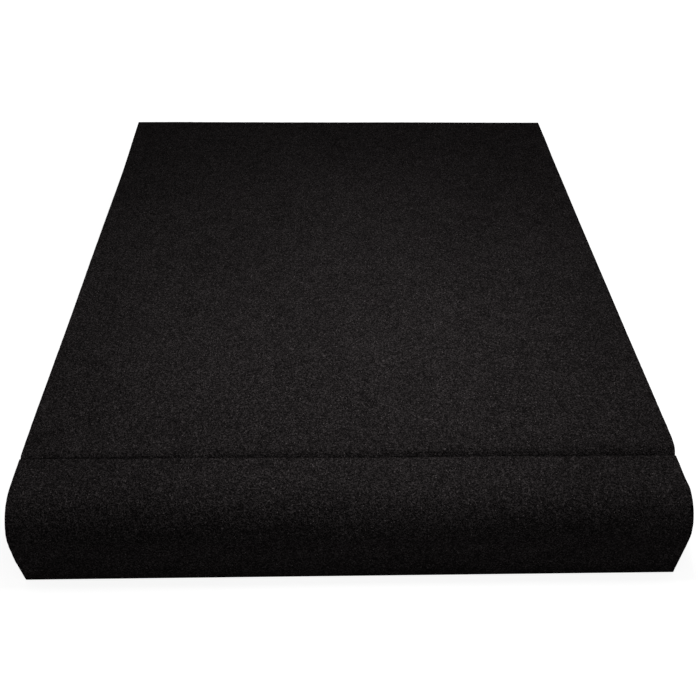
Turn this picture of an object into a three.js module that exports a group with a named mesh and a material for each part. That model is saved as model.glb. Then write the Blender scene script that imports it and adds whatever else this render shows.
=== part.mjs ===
// A foam isolation pad for a studio loudspeaker to stand on, in millimetres.
//
// It is two pieces of open-cell foam, cut from one block. The base has a rounded nose
// along its front and a sloping bed behind it. The wedge lies on the bed and butts
// against the nose, so that the top is level. Lifted out or turned end for end, it
// leaves the speaker tilted by one or two steps of the bed's slope.
//
// +X is across the pad, +Y runs from the nose to the back, and +Z is up. The origin is
// under the middle of the pad, on the surface that it stands on.

import * as THREE from "three";

// Overall sizes
const PAD_WIDTH = 265;
const PAD_LENGTH = 330;
const PAD_HEIGHT = 40;

// The nose: how far back it reaches, the round of its top, and how far its face leans
// back on the way down
const NOSE_DEPTH = 30;
const NOSE_RADIUS = 16;
const NOSE_LEAN = THREE.MathUtils.degToRad(3);

// The cut between the two pieces: its slope, and what is left of the wedge at the back
const BED_SLOPE = THREE.MathUtils.degToRad(4);
const WEDGE_THIN_END = 5;

// Clearances of the loose wedge
const WEDGE_TO_NOSE = 0.5;
const WEDGE_TO_BED = 0.3;

// Edges: the saw leaves them just off sharp, and handling has rolled the wedge's front one
const CUT_EDGE_RADIUS = 1;
const INNER_CORNER_RADIUS = 1.5;
const ROLLED_EDGE_RADIUS = 3;
const SIDE_EDGE_RADIUS = 0.8;

// How finely the rounds are stepped
const ARC_STEPS = 8;
const SIDE_EDGE_STEPS = 3;

const FOAM_BLACK = 0x211f1f;

const FRONT = -PAD_LENGTH / 2;
const BACK = PAD_LENGTH / 2;
const NOSE_BACK = FRONT + NOSE_DEPTH;

/** The height of the sloping bed at a distance y along the pad. */
function bedHeight(y) {
  return PAD_HEIGHT - WEDGE_THIN_END - (BACK - y) * Math.tan(BED_SLOPE);
}

/** Where the nose's face would meet the flat top if the nose weren't rounded. */
function sharpNoseCorner() {
  const overhang = NOSE_RADIUS * (1 / Math.cos(NOSE_LEAN) + Math.tan(NOSE_LEAN) - 1);
  return FRONT - overhang;
}

/** Where the nose's leaning face comes down to the surface that the pad stands on. */
function noseFoot() {
  return sharpNoseCorner() + PAD_HEIGHT * Math.tan(NOSE_LEAN);
}

/**
 * A closed outline with a round at each corner. The corners are [y, z, radius] and go
 * round anticlockwise, seen with +Y to the right and +Z up.
 */
function roundedOutline(corners) {
  const outline = new THREE.Shape();
  const points = corners.map(([y, z]) => new THREE.Vector2(y, z));
  points.forEach((corner, i) => {
    const radius = corners[i][2];
    const before = points.at(i - 1).clone().sub(corner).normalize();
    const after = points[(i + 1) % points.length].clone().sub(corner).normalize();
    const halfAngle = Math.acos(before.dot(after)) / 2;
    const centre = before.clone().add(after).normalize();
    centre.multiplyScalar(radius / Math.sin(halfAngle)).add(corner);
    const tangentLength = radius / Math.tan(halfAngle);
    const start = before.clone().multiplyScalar(tangentLength).add(corner).sub(centre);
    const end = after.clone().multiplyScalar(tangentLength).add(corner).sub(centre);
    const turnsInwards = before.cross(after) > 0;
    outline.absarc(centre.x, centre.y, radius, start.angle(), end.angle(), turnsInwards);
  });
  return outline;
}

/** A slab of foam with that outline, as wide as the pad, its side edges rounded too. */
function foamSlab(name, outline) {
  const geometry = new THREE.ExtrudeGeometry(outline, {
    depth: PAD_WIDTH - 2 * SIDE_EDGE_RADIUS,
    bevelThickness: SIDE_EDGE_RADIUS,
    bevelSize: SIDE_EDGE_RADIUS,
    bevelOffset: -SIDE_EDGE_RADIUS,
    bevelSegments: SIDE_EDGE_STEPS,
    curveSegments: ARC_STEPS,
  });
  geometry.translate(0, 0, SIDE_EDGE_RADIUS - PAD_WIDTH / 2);
  const along = new THREE.Vector3(0, 1, 0);
  const up = new THREE.Vector3(0, 0, 1);
  const across = new THREE.Vector3(1, 0, 0);
  geometry.applyMatrix4(new THREE.Matrix4().makeBasis(along, up, across));
  const foam = new THREE.MeshStandardMaterial({
    color: FOAM_BLACK,
    roughness: 0.95,
    metalness: 0,
  });
  const slab = new THREE.Mesh(geometry, foam);
  slab.name = name;
  return slab;
}

/** The base: flat foot, rounded nose, the step behind the nose, and the sloping bed. */
function makeBase() {
  return foamSlab(
    "base",
    roundedOutline([
      [noseFoot(), 0, CUT_EDGE_RADIUS],
      [BACK, 0, CUT_EDGE_RADIUS],
      [BACK, bedHeight(BACK), CUT_EDGE_RADIUS],
      [NOSE_BACK, bedHeight(NOSE_BACK), INNER_CORNER_RADIUS],
      [NOSE_BACK, PAD_HEIGHT, CUT_EDGE_RADIUS],
      [sharpNoseCorner(), PAD_HEIGHT, NOSE_RADIUS],
    ]),
  );
}

/** The wedge: thick where it butts against the nose, thin at the back, level on top. */
function makeWedge() {
  const front = NOSE_BACK + WEDGE_TO_NOSE;
  return foamSlab(
    "wedge",
    roundedOutline([
      [front, bedHeight(front) + WEDGE_TO_BED, INNER_CORNER_RADIUS],
      [BACK, bedHeight(BACK) + WEDGE_TO_BED, CUT_EDGE_RADIUS],
      [BACK, PAD_HEIGHT, CUT_EDGE_RADIUS],
      [front, PAD_HEIGHT, ROLLED_EDGE_RADIUS],
    ]),
  );
}

const pad = new THREE.Group();
pad.add(makeBase(), makeWedge());

export default pad;
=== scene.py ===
"""The looks of a foam speaker isolation pad: two blocks of black open-cell foam.

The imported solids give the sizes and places. Each is replaced by a finely meshed block with
the same outline, whose edges, seam and cut faces are as soft and uneven as sawn foam. All
lengths are in metres, with +Y from the rounded nose to the back and +Z up.
"""

from __future__ import annotations

import logging
import math
from abc import ABC, abstractmethod
from collections.abc import Callable
from dataclasses import dataclass
from enum import Enum

import bmesh
import bpy
from mathutils import Matrix, Vector

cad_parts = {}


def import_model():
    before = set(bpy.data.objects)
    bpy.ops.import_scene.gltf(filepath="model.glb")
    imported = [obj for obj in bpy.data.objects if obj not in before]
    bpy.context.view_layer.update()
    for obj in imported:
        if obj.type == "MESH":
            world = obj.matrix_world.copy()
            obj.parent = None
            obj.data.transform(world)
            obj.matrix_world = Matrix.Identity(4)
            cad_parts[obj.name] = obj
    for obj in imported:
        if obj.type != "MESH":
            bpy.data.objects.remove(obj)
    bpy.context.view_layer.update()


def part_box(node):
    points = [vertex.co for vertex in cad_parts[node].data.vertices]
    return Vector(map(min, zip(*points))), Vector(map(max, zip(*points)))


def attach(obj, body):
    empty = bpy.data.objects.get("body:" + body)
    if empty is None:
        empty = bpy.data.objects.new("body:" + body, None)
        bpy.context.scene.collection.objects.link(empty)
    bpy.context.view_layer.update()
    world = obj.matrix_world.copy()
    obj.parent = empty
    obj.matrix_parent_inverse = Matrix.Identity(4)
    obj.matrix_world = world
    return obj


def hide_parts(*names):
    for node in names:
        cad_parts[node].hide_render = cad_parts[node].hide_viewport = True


LOG = logging.getLogger("speaker_pad")
MM = 0.001

# Edges that turn by more than this are sawn ones
SHARP_ANGLE = math.radians(40)

# Corners closer than this count as one place, and cuts closer than this as one cut
SAME_PLACE = 0.01 * MM
SAME_CUT = 0.05 * MM


class Axis(Enum):
    """The pad's own directions."""

    ACROSS = Vector((1, 0, 0))
    ALONG = Vector((0, 1, 0))
    UP = Vector((0, 0, 1))


class Grain(Enum):
    """How coarse an unevenness of the foam is, as the size of its bumps."""

    SAW_DRIFT = 70 * MM
    TORN_CELLS = 3.2 * MM


@dataclass(frozen=True)
class PadSizes:
    """The sizes that both blocks are cut to.

    Args:
        width: across the pad.
        length: from the tip of the nose to the back.
        height: of the level top.
        nose_back: where the nose ends, on the ALONG axis.
        nose_radius: of the round along the top of the nose.
        nose_lean: how far the nose's face leans back on its way down.
        bed_slope: of the cut between the two blocks.
        wedge_thin_end: the wedge's thickness at the back.
        wedge_to_bed: the gap under the wedge, a little wider than the solids' clearance, so
            that the cut shows on the sides.
        fillet: the round at the foot of the step behind the nose.
    """

    width: float
    length: float
    height: float
    nose_back: float
    nose_radius: float = 16 * MM
    nose_lean: float = math.radians(3)
    bed_slope: float = math.radians(4)
    wedge_thin_end: float = 5 * MM
    wedge_to_bed: float = 0.5 * MM
    fillet: float = 1.5 * MM

    @classmethod
    def from_frame(cls) -> PadSizes:
        """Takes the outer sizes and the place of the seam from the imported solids."""
        low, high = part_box("base")
        wedge_low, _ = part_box("wedge")
        wedge_to_nose = 0.5 * MM
        return cls(
            width=high.x - low.x,
            length=2 * high.y,
            height=high.z,
            nose_back=wedge_low.y - wedge_to_nose,
        )

    @property
    def front(self) -> float:
        """The tip of the nose."""
        return -self.length / 2

    @property
    def back(self) -> float:
        """The back face."""
        return self.length / 2

    @property
    def side(self) -> float:
        """The right side face; the left one is at minus this."""
        return self.width / 2

    @property
    def sharp_nose(self) -> float:
        """Where the nose's face would meet the top if it weren't rounded."""
        lean = self.nose_lean
        return self.front - self.nose_radius * (1 / math.cos(lean) + math.tan(lean) - 1)

    def bed_height(self, along: float) -> float:
        """The height of the sloping bed.

        Args:
            along: a place on the ALONG axis.

        Returns:
            The bed's height there.
        """
        return self.height - self.wedge_thin_end - (self.back - along) * math.tan(self.bed_slope)


@dataclass(frozen=True)
class Seam:
    """The open joint across the top, between the nose and the wedge, which isn't quite even.

    Args:
        drift_left: how far behind the plain line the nose's back is at the left end.
        drift_right: the same at the right end.
        gap_left: how far the wedge lies behind the nose at the left end.
        gap_right: the same at the right end.
        roll_left: the round that handling gave the wedge's front edge, at the left end.
        roll_right: the same at the right end.
    """

    drift_left: float = 0.1 * MM
    drift_right: float = -0.8 * MM
    gap_left: float = 0.25 * MM
    gap_right: float = 1.7 * MM
    roll_left: float = 2.5 * MM
    roll_right: float = 7.5 * MM


class Nodes:
    """A material's or world's node tree, with short ways to add and join nodes."""

    def __init__(self, tree: bpy.types.NodeTree) -> None:
        """Starts from an empty tree.

        Args:
            tree: the node tree to fill.
        """
        self.tree = tree
        tree.nodes.clear()

    def add(self, kind: str, settings: dict | None = None, **sockets: object) -> bpy.types.Node:
        """Adds a node.

        Args:
            kind: the node's type name.
            settings: properties of the node itself.
            **sockets: a value or an output socket for each named input, with _ for a space.

        Returns:
            The new node.
        """
        node = self.tree.nodes.new(kind)
        for name, value in (settings or {}).items():
            setattr(node, name, value)
        for name, value in sockets.items():
            self.feed(node.inputs[name.replace("_", " ")], value)
        return node

    def feed(self, socket: bpy.types.NodeSocket, value: object) -> None:
        """Sets an input, or joins an output to it.

        Args:
            socket: the input.
            value: a plain value, or the output socket to join.
        """
        if isinstance(value, bpy.types.NodeSocket):
            self.tree.links.new(value, socket)
        else:
            socket.default_value = value

    def math(self, operation: str, *values: object) -> bpy.types.NodeSocket:
        """Adds a Math node.

        Args:
            operation: the operation's name.
            *values: its operands, plain or output sockets.

        Returns:
            The result's socket.
        """
        node = self.add("ShaderNodeMath", {"operation": operation})
        for socket, value in zip(node.inputs, values):
            self.feed(socket, value)
        return node.outputs[0]

    def spread(
        self, value: object, start: float, end: float, low: float, high: float
    ) -> bpy.types.NodeSocket:
        """Maps start..end to low..high, clamped.

        Args:
            value: the socket to map.
            start: the value that becomes low.
            end: the value that becomes high.
            low: the lowest result.
            high: the highest result.

        Returns:
            The result's socket.
        """
        node = self.add("ShaderNodeMapRange")
        for socket, number in zip(node.inputs, (value, start, end, low, high)):
            self.feed(socket, number)
        return node.outputs[0]


@dataclass(frozen=True)
class FoamFinish:
    """Black open-cell foam: thin walls, with painted shade darkening the pores between them, and a
    painted glint on a few of the walls.

    Args:
        name: of the material.
        cell: the size of the foam's cells.
        pore_shade_tone: how light the bottom of a pore is; this is the foam's dark colour with the
            pore's shade painted in.
        wall_tone: how light a plain wall is.
        warmth: the foam's colour, as a factor on its tone.
        painted_glint_tone: how much lighter a painted glint makes a wall; it is a highlight painted
            into the colour.
        painted_glint_share: the share of the cells that get such a painted glint.
        painted_glint_reach: how far such a painted glint reaches from the middle of its cell.
        pore_reach: how far a pore and its painted shade reach from the middle of its cell.
        wall_reach: how far out the wall has its full tone.
        catch_power: how rare the bright cells are; one makes all tones as common.
        dimmest: the factor on the tone of the dimmest cell.
        brightest: the factor on the tone of the brightest cell.
        clouds: the size of each cloudy change of tone, and the most that it changes.
        cell_depth: how deep the pores are.
        bump: how much of that depth shows.
        roughness: of the walls.
    """

    name: str = "black_foam"
    cell: float = 0.46 * MM
    pore_shade_tone: float = 0.002
    wall_tone: float = 0.0235
    warmth: tuple[float, float, float] = (1.085, 0.96, 0.973)
    painted_glint_tone: float = 0.09
    painted_glint_share: float = 0.015
    painted_glint_reach: float = 0.42
    pore_reach: float = 0.18
    wall_reach: float = 0.75
    catch_power: float = 2.0
    dimmest: float = 0.45
    brightest: float = 2.1
    clouds: tuple[tuple[float, float], ...] = ((7 * MM, 0.12), (55 * MM, 0.08))
    cell_depth: float = 0.22 * MM
    bump: float = 0.6
    roughness: float = 0.92

    def material(self) -> bpy.types.Material:
        """Builds the finish.

        Returns:
            A material whose pattern lies on the pad's own coordinates.
        """
        material = bpy.data.materials.new(self.name)
        material.use_nodes = True
        nodes = Nodes(material.node_tree)
        place = nodes.add("ShaderNodeTexCoord").outputs["Object"]
        cells = nodes.add(
            "ShaderNodeTexVoronoi", {"feature": "F1"}, Vector=place, Scale=1 / self.cell
        )
        wall = nodes.spread(cells.outputs["Distance"], self.pore_reach, self.wall_reach, 0, 1)
        chance = nodes.add("ShaderNodeSeparateColor", Color=cells.outputs["Color"])
        # Painted shade: the bottoms of the pores are darker than the walls, as if shaded
        tone = nodes.spread(wall, 0, 1, self.pore_shade_tone, self.wall_tone)
        catch = nodes.math("POWER", chance.outputs[0], self.catch_power)
        catch = nodes.spread(catch, 0, 1, self.dimmest, self.brightest)
        tone = nodes.math("MULTIPLY", tone, catch)
        for size, amount in self.clouds:
            tone = nodes.math("MULTIPLY", tone, self._mottling(nodes, place, size, amount))
        # Painted glints: a few cells get a painted highlight added to their colour
        painted_glint = nodes.math("GREATER_THAN", chance.outputs[1], 1 - self.painted_glint_share)
        inside = nodes.math("LESS_THAN", cells.outputs["Distance"], self.painted_glint_reach)
        painted_glint = nodes.math("MULTIPLY", painted_glint, inside)
        tone = nodes.math("ADD", tone, nodes.math("MULTIPLY", painted_glint, self.painted_glint_tone))
        colour = nodes.add("ShaderNodeVectorMath", {"operation": "SCALE"}, Scale=tone)
        colour.inputs[0].default_value = self.warmth
        bump = nodes.add(
            "ShaderNodeBump", Strength=self.bump, Distance=self.cell_depth, Height=wall
        )
        shader = nodes.add(
            "ShaderNodeBsdfPrincipled",
            Base_Color=colour.outputs[0],
            Roughness=self.roughness,
            Specular_IOR_Level=0.0,
            Normal=bump.outputs[0],
        )
        nodes.add("ShaderNodeOutputMaterial", Surface=shader.outputs[0])
        return material

    def _mottling(
        self, nodes: Nodes, place: bpy.types.NodeSocket, size: float, amount: float
    ) -> bpy.types.NodeSocket:
        """Adds a soft, cloudy change of tone.

        Args:
            nodes: the material's nodes.
            place: the coordinates.
            size: of the clouds.
            amount: the most that the tone changes, as a share.

        Returns:
            A factor around one.
        """
        thinnest, thickest = 0.3, 0.7
        noise = nodes.add("ShaderNodeTexNoise", Vector=place, Scale=1 / size, Detail=2.0)
        return nodes.spread(noise.outputs[0], thinnest, thickest, 1 - amount, 1 + amount)


def start_editing() -> None:
    """Enters edit mode on the active object with nothing selected."""
    bpy.ops.object.mode_set(mode="EDIT")
    bpy.ops.mesh.select_all(action="DESELECT")


def pick(test: Callable[[Vector], bool]) -> None:
    """Selects, in edit mode, the corners that pass a test, and the edges and faces between them.

    Args:
        test: says whether the corner at a place is picked.
    """
    bpy.ops.mesh.select_mode(type="VERT")
    mesh = bpy.context.object.data
    shape = bmesh.from_edit_mesh(mesh)
    for corner in shape.verts:
        corner.select_set(test(corner.co))
    shape.select_flush_mode()
    bmesh.update_edit_mesh(mesh)


def pick_crossing(length: float) -> None:
    """Selects, in edit mode, the edges that run across the pad.

    Args:
        length: the least distance across that such an edge covers.
    """
    bpy.ops.mesh.select_mode(type="EDGE")
    mesh = bpy.context.object.data
    shape = bmesh.from_edit_mesh(mesh)
    for edge in shape.edges:
        one, other = edge.verts
        edge.select_set(abs(one.co.x - other.co.x) > length)
    bmesh.update_edit_mesh(mesh)


def shift(test: Callable[[Vector], bool], by: tuple[float, float, float]) -> None:
    """Moves, in edit mode, the corners that pass a test.

    Args:
        test: says whether the corner at a place is moved.
        by: how far.
    """
    pick(test)
    bpy.ops.transform.translate(value=by)


def pull(test: Callable[[Vector], bool], by: tuple[float, float, float], reach: float) -> None:
    """Moves, in edit mode, the corners that pass a test, and draws what is near along with them.

    Args:
        test: says whether the corner at a place is moved.
        by: how far.
        reach: how far from them the rest still moves a little.
    """
    pick(test)
    bpy.ops.transform.translate(
        value=by,
        use_proportional_edit=True,
        proportional_edit_falloff="SMOOTH",
        proportional_size=reach,
    )


def near(value: float, target: float) -> bool:
    """Says whether two distances along an axis are the same place."""
    return abs(value - target) < SAME_PLACE


@dataclass
class FoamBlock(ABC):
    """One block of foam, sawn to an outline and as wide as the pad.

    Args:
        sizes: what the pad is cut to.
        seam: the joint between the two blocks.
        node: the solid that the block stands for.
        cell: the size of the mesh's cells before they are smoothed.
        subdivisions: how many times smoothing halves the cells.
        edge_softness: the width of the sawn edges' bevel.
        edge_steps: the number of steps in that bevel.
        fillet_steps: the number of steps in the round of the inner corner.
        drift: how far the saw wandered off its plane.
        roughness: how far the torn cells stand out.
        back_left_out: how far the left side runs outwards by the time that it meets the back.
        back_right_out: the same on the right.
        splay_reach: the length of side over which it does so.
    """

    sizes: PadSizes
    seam: Seam
    node: str = ""
    cell: float = 12 * MM
    subdivisions: int = 3
    edge_softness: float = 0.9 * MM
    edge_steps: int = 3
    fillet_steps: int = 3
    drift: float = 0.5 * MM
    roughness: float = 0.22 * MM
    back_left_out: float = 1.2 * MM
    back_right_out: float = 0.6 * MM
    splay_reach: float = 70 * MM

    @abstractmethod
    def shape(self) -> None:
        """Shapes the active object, a plain block, to the outline."""

    @abstractmethod
    def corners(self) -> tuple[Vector, Vector]:
        """The lowest and highest corners of the block that the shape starts from."""

    @abstractmethod
    def hidden(self, place: Vector) -> bool:
        """Says whether a place on the surface lies against the floor or the other block."""

    def build(self, material: bpy.types.Material) -> bpy.types.Object:
        """Models the block, dresses it and puts it in its solid's place.

        Args:
            material: the foam's finish.

        Returns:
            The finished piece.
        """
        block = self._start()
        start_editing()
        self.shape()
        self._cut_into_cells()
        self._splay_the_back()
        bpy.ops.object.mode_set(mode="OBJECT")
        self._keep_edges_crisp()
        self._refine(block)
        self._make_uneven(block)
        bpy.ops.object.shade_smooth()
        block.data.materials.append(material)
        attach(block, "root")
        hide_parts(self.node)
        LOG.info("%s: %d faces", block.name, len(block.data.polygons))
        return block

    def _start(self) -> bpy.types.Object:
        """Adds the plain block at its size and place, and returns it."""
        low, high = self.corners()
        bpy.ops.object.select_all(action="DESELECT")
        bpy.ops.mesh.primitive_cube_add(size=1, location=(low + high) / 2, scale=high - low)
        bpy.ops.object.transform_apply(location=True, rotation=True, scale=True)
        block = bpy.context.object
        block.name = f"foam_{self.node}"
        return block

    def _cut_into_cells(self) -> None:
        """Cuts the outline into cells along and up, and then across."""
        self._bisect(Axis.ALONG, self.sizes.front, self.sizes.back)
        self._bisect(Axis.UP, 0, self.sizes.height)
        pick_crossing(0.9 * self.sizes.width)
        bpy.ops.mesh.subdivide(number_cuts=round(self.sizes.width / self.cell) - 1)

    def _splay_the_back(self) -> None:
        """Pulls the two ends of the back outwards, because the sides weren't cut quite true."""
        pad = self.sizes
        for side, out in ((-pad.side, -self.back_left_out), (pad.side, self.back_right_out)):
            pull(
                lambda place: near(place.x, side) and near(place.y, pad.back),
                (out, 0, 0),
                self.splay_reach,
            )

    def _bisect(self, axis: Axis, start: float, end: float) -> None:
        """Cuts the whole block by even planes.

        Args:
            axis: the direction that the planes face.
            start: the place on the axis where the block begins.
            end: the place on the axis where the block ends.
        """
        count = round((end - start) / self.cell)
        for step in range(1, count):
            place = start + (end - start) * step / count
            bpy.ops.mesh.select_all(action="SELECT")
            bpy.ops.mesh.bisect(
                plane_co=axis.value * place, plane_no=axis.value, threshold=SAME_CUT
            )

    def _keep_edges_crisp(self) -> None:
        """Creases the sawn edges, so that smoothing leaves them where they are."""
        start_editing()
        bpy.ops.mesh.select_mode(type="EDGE")
        bpy.ops.mesh.edges_select_sharp(sharpness=SHARP_ANGLE)
        bpy.ops.transform.edge_crease(value=1.0)
        bpy.ops.object.mode_set(mode="OBJECT")

    def _refine(self, block: bpy.types.Object) -> None:
        """Smooths the block into fine cells and takes the sharpness off its edges.

        Args:
            block: the shaped block.
        """
        smooth = block.modifiers.new("smooth", "SUBSURF")
        smooth.levels = self.subdivisions
        smooth.render_levels = self.subdivisions
        bpy.ops.object.modifier_apply(modifier=smooth.name)
        soften = block.modifiers.new("soften", "BEVEL")
        soften.width = self.edge_softness
        soften.segments = self.edge_steps
        soften.limit_method = "ANGLE"
        soften.angle_limit = SHARP_ANGLE
        bpy.ops.object.modifier_apply(modifier=soften.name)

    def _make_uneven(self, block: bpy.types.Object) -> None:
        """Gives the open faces the saw's drift and the torn cells' roughness.

        Args:
            block: the finely meshed block.
        """
        group = block.vertex_groups.new(name="open_faces")
        for vertex in block.data.vertices:
            group.add([vertex.index], 0.0 if self.hidden(vertex.co) else 1.0, "REPLACE")
        for grain, strength in ((Grain.SAW_DRIFT, self.drift), (Grain.TORN_CELLS, self.roughness)):
            clouds = bpy.data.textures.new(f"{block.name}_{grain.name.lower()}", "CLOUDS")
            clouds.noise_scale = grain.value
            clouds.noise_depth = 2
            uneven = block.modifiers.new(grain.name, "DISPLACE")
            uneven.texture = clouds
            uneven.texture_coords = "LOCAL"
            uneven.vertex_group = group.name
            uneven.strength = strength
            uneven.mid_level = 0.5
            bpy.ops.object.modifier_apply(modifier=uneven.name)


@dataclass
class Base(FoamBlock):
    """The base: the rounded nose, the flat foot and the sloping bed behind the nose.

    Args:
        nose_steps: the number of steps in the nose's round.
        nose_right_in: how far the nose's top falls short of the side, on the right.
        foot_left_in: how far the nose's foot falls short of the side, on the left.
    """

    node: str = "base"
    cell: float = 14.5 * MM
    nose_steps: int = 8
    nose_right_in: float = 0.5 * MM
    foot_left_in: float = 1.0 * MM

    def corners(self) -> tuple[Vector, Vector]:
        """The block that the nose is cut from."""
        pad = self.sizes
        low = Vector((-pad.side, pad.sharp_nose, 0))
        return low, Vector((pad.side, pad.nose_back, pad.height))

    def shape(self) -> None:
        """Leans the nose's face, draws the bed out of its back, and rounds the nose."""
        pad = self.sizes
        bed_start = pad.bed_height(pad.nose_back)
        lean = pad.height * math.tan(pad.nose_lean)
        shift(lambda place: near(place.y, pad.sharp_nose) and near(place.z, 0), (0, lean, 0))
        bpy.ops.mesh.select_all(action="SELECT")
        bpy.ops.mesh.bisect(
            plane_co=(0, 0, bed_start), plane_no=Axis.UP.value, threshold=SAME_CUT
        )
        pick(lambda place: near(place.y, pad.nose_back) and place.z < bed_start + MM)
        bpy.ops.mesh.extrude_region_move(
            TRANSFORM_OT_translate={"value": (0, pad.back - pad.nose_back, 0)}
        )
        rise = pad.bed_height(pad.back) - bed_start
        shift(lambda place: near(place.y, pad.back) and near(place.z, bed_start), (0, 0, rise))
        pick(lambda place: near(place.y, pad.nose_back) and near(place.z, bed_start))
        bpy.ops.mesh.bevel(offset=pad.fillet, segments=self.fillet_steps, affect="EDGES")
        pick(lambda place: near(place.y, pad.sharp_nose) and near(place.z, pad.height))
        tangent = pad.nose_radius / math.tan((math.pi / 2 - pad.nose_lean) / 2)
        bpy.ops.mesh.bevel(offset=tangent, segments=self.nose_steps, affect="EDGES")
        self._wander(pad, lean)

    def _wander(self, pad: PadSizes, lean: float) -> None:
        """Runs the seam off its line, and narrows the nose at its top right and bottom left.

        Args:
            pad: what the pad is cut to.
            lean: how far back the nose's foot is set.
        """
        for side, drift in ((-pad.side, self.seam.drift_left), (pad.side, self.seam.drift_right)):
            shift(lambda place: near(place.x, side) and near(place.y, pad.nose_back), (0, drift, 0))
        foot = pad.sharp_nose + lean
        shift(
            lambda place: near(place.x, pad.side)
            and place.y < pad.nose_back
            and near(place.z, pad.height),
            (-self.nose_right_in, 0, 0),
        )
        shift(
            lambda place: near(place.x, -pad.side) and near(place.y, foot) and near(place.z, 0),
            (self.foot_left_in, 0, 0),
        )

    def hidden(self, place: Vector) -> bool:
        """The foot, the bed and the back of the nose below its edge."""
        pad = self.sizes
        slack = 0.1 * MM
        under = place.z < MM
        reaches_bed = place.z > pad.bed_height(place.y) - slack
        behind_step = place.y > pad.nose_back + 2 * MM
        behind_nose = place.y > pad.nose_back - MM and place.z < pad.height - MM
        return under or (reaches_bed and (behind_step or behind_nose))


@dataclass
class Wedge(FoamBlock):
    """The loose wedge: level on top, thin at the back, its front edge rolled by handling.

    Args:
        roll_steps: the number of steps in the rolled front edge.
        front_right_out: how far the front runs out past the side, on the right.
    """

    node: str = "wedge"
    roll_steps: int = 5
    front_right_out: float = 0.9 * MM

    def corners(self) -> tuple[Vector, Vector]:
        """The block that the wedge is cut from."""
        pad = self.sizes
        front = pad.nose_back + self.seam.drift_left + self.seam.gap_left
        low = Vector((-pad.side, front, pad.bed_height(front) + pad.wedge_to_bed))
        return low, Vector((pad.side, pad.back, pad.height))

    def shape(self) -> None:
        """Slopes the underside, rolls the front edge, and turns the front along the seam."""
        pad = self.sizes
        low, high = self.corners()
        rise = (high.y - low.y) * math.tan(pad.bed_slope)
        shift(lambda place: near(place.y, high.y) and near(place.z, low.z), (0, 0, rise))
        pick(lambda place: near(place.y, low.y) and near(place.z, low.z))
        bpy.ops.mesh.bevel(offset=pad.fillet, segments=self.fillet_steps, affect="EDGES")
        pick(lambda place: near(place.y, low.y) and near(place.z, high.z))
        bpy.ops.mesh.bevel(offset=self.seam.roll_left, segments=self.roll_steps, affect="EDGES")
        slack = 0.1 * MM
        reach = self.seam.roll_left + slack
        pick(
            lambda place: near(place.x, high.x)
            and place.y < low.y + reach
            and place.z > high.z - reach
        )
        growth = self.seam.roll_right / self.seam.roll_left
        bpy.ops.transform.resize(value=(1, growth, growth), center_override=(high.x, low.y, high.z))
        nose_right = pad.nose_back + self.seam.drift_right
        shift(
            lambda place: near(place.x, high.x) and place.y < low.y + self.seam.roll_right + MM,
            (self.front_right_out, nose_right + self.seam.gap_right - low.y, 0),
        )

    def hidden(self, place: Vector) -> bool:
        """The underside and the front face."""
        pad = self.sizes
        slack = 0.6 * MM
        on_bed = place.z < pad.bed_height(place.y) + pad.wedge_to_bed + slack
        roll = self.seam.roll_right
        against_nose = place.y < pad.nose_back + 2 * MM and place.z < pad.height - roll
        return on_bed or against_nose


@dataclass(frozen=True)
class Lamp:
    """A soft rectangular light.

    Args:
        name: of the lamp.
        place: where its middle is.
        aim: the point that it faces.
        size: its width and height.
        power: in watts.
    """

    name: str
    place: tuple[float, float, float]
    aim: tuple[float, float, float]
    size: tuple[float, float]
    power: float

    def build(self) -> None:
        """Hangs the lamp, out of the camera's sight."""
        bpy.ops.object.light_add(type="AREA", location=self.place)
        lamp = bpy.context.object
        lamp.name = self.name
        lamp.rotation_euler = (Vector(self.aim) - lamp.location).to_track_quat("-Z", "Y").to_euler()
        lamp.data.shape = "RECTANGLE"
        lamp.data.size, lamp.data.size_y = self.size
        lamp.data.energy = self.power
        lamp.visible_camera = False


OVERHEAD = Lamp("overhead_light", (0.012, -0.068, 0.233), (0.012, -0.068, 0), (0.16, 0.16), 0.43)


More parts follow.
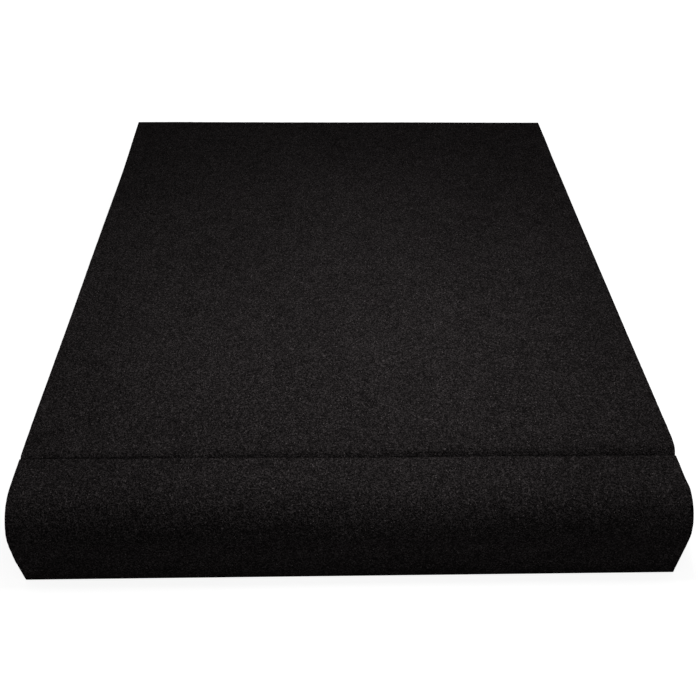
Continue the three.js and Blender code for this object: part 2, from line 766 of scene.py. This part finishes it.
@dataclass(frozen=True)
class Studio:
    """A white floor under one soft light, in a pale room.

    Args:
        floor_size: of the square floor.
        floor_tone: how light the floor's paint is.
        lamps: the lights.
        room_level: how strongly the room lights the pad.
        glow_near: the floor's own light at the pad, as the camera sees it.
        glow_grows_from: how far out that light starts to grow.
        glow_grows_to: how far out it makes the floor quite white.
    """

    floor_size: float = 8.0
    floor_tone: float = 0.8
    lamps: tuple[Lamp, ...] = (OVERHEAD,)
    room_level: float = 0.19
    glow_near: float = 0.84
    glow_grows_from: float = 0.2
    glow_grows_to: float = 0.5

    def build(self) -> None:
        """Makes the floor, the lamps and the room."""
        self._floor()
        for lamp in self.lamps:
            lamp.build()
        self._room()

    def _floor(self) -> None:
        """Lays the floor, which keeps the pad's shadow and shows white around it."""
        bpy.ops.object.select_all(action="DESELECT")
        bpy.ops.mesh.primitive_plane_add(size=self.floor_size, location=(0, 0, 0))
        floor = bpy.context.object
        floor.name = "floor"
        material = bpy.data.materials.new("white_floor")
        material.use_nodes = True
        nodes = Nodes(material.node_tree)
        place = nodes.add("ShaderNodeTexCoord").outputs["Object"]
        distance = nodes.add("ShaderNodeVectorMath", {"operation": "LENGTH"}, Vector=place)
        glow = nodes.spread(
            distance.outputs["Value"], self.glow_grows_from, self.glow_grows_to, self.glow_near, 1.0
        )
        seen = nodes.add("ShaderNodeLightPath").outputs["Is Camera Ray"]
        white = nodes.add("ShaderNodeEmission", Strength=nodes.math("MULTIPLY", glow, seen))
        paint = nodes.add("ShaderNodeBsdfDiffuse", Color=(*(self.floor_tone,) * 3, 1))
        both = nodes.add("ShaderNodeAddShader")
        nodes.feed(both.inputs[0], white.outputs[0])
        nodes.feed(both.inputs[1], paint.outputs[0])
        nodes.add("ShaderNodeOutputMaterial", Surface=both.outputs[0])
        floor.data.materials.append(material)

    def _room(self) -> None:
        """Sets the room: white where it is seen, and a low even fill elsewhere."""
        world = bpy.data.worlds.new("room")
        bpy.context.scene.world = world
        world.use_nodes = True
        nodes = Nodes(world.node_tree)
        path = nodes.add("ShaderNodeLightPath")
        seen = nodes.math("MAXIMUM", path.outputs["Is Camera Ray"], path.outputs["Is Glossy Ray"])
        seen = nodes.math("MAXIMUM", seen, path.outputs["Is Transmission Ray"])
        level = nodes.spread(seen, 0, 1, self.room_level, 1)
        room = nodes.add("ShaderNodeBackground", Strength=level)
        room.inputs["Color"].default_value = (1, 1, 1, 1)
        nodes.add("ShaderNodeOutputWorld", Surface=room.outputs[0])


@dataclass(frozen=True)
class PhotoCamera:
    """The camera that the pad is seen through, from the front and above.

    Args:
        place: where it is.
        pitch_down: how far it looks down.
        turn: how far it is turned about the upright axis.
        tilt: how far it is rolled about its own line of sight.
        focal_pixels: its focal length, in pixels of the square picture.
        frame_pixels: the picture's width, in pixels.
        sensor: the sensor's width, in millimetres.
        nearest: the distance at which it starts to see.
    """

    place: tuple[float, float, float] = (-9.8 * MM, -370.5 * MM, 298.5 * MM)
    pitch_down: float = math.radians(40.51)
    turn: float = math.radians(-1.97)
    tilt: float = math.radians(0.99)
    focal_pixels: float = 861.1
    frame_pixels: float = 698.0
    sensor: float = 36.0
    nearest: float = 0.01

    def build(self) -> None:
        """Places the camera and makes it the scene's own."""
        bpy.ops.object.camera_add(location=self.place)
        camera = bpy.context.object
        camera.name = "camera"
        aim = (
            Matrix.Rotation(self.turn, 4, "Z")
            @ Matrix.Rotation(math.pi / 2 - self.pitch_down, 4, "X")
            @ Matrix.Rotation(self.tilt, 4, "Z")
        )
        camera.matrix_world = Matrix.Translation(self.place) @ aim
        camera.data.sensor_width = self.sensor
        camera.data.lens = self.sensor * self.focal_pixels / self.frame_pixels
        camera.data.clip_start = self.nearest
        bpy.context.scene.camera = camera


def main() -> None:
    """Builds the pad's two blocks, the studio and the camera."""
    logging.basicConfig(level=logging.INFO, format="%(name)s: %(message)s")
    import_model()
    bpy.context.scene.view_settings.view_transform = "Standard"
    sizes = PadSizes.from_frame()
    seam = Seam()
    foam = FoamFinish().material()
    for block in (Base(sizes, seam), Wedge(sizes, seam)):
        piece = block.build(foam)
        LOG.info("built %s", piece.name)
    Studio().build()
    LOG.info("built the studio")
    PhotoCamera().build()


if __name__ == "__main__":
    main()
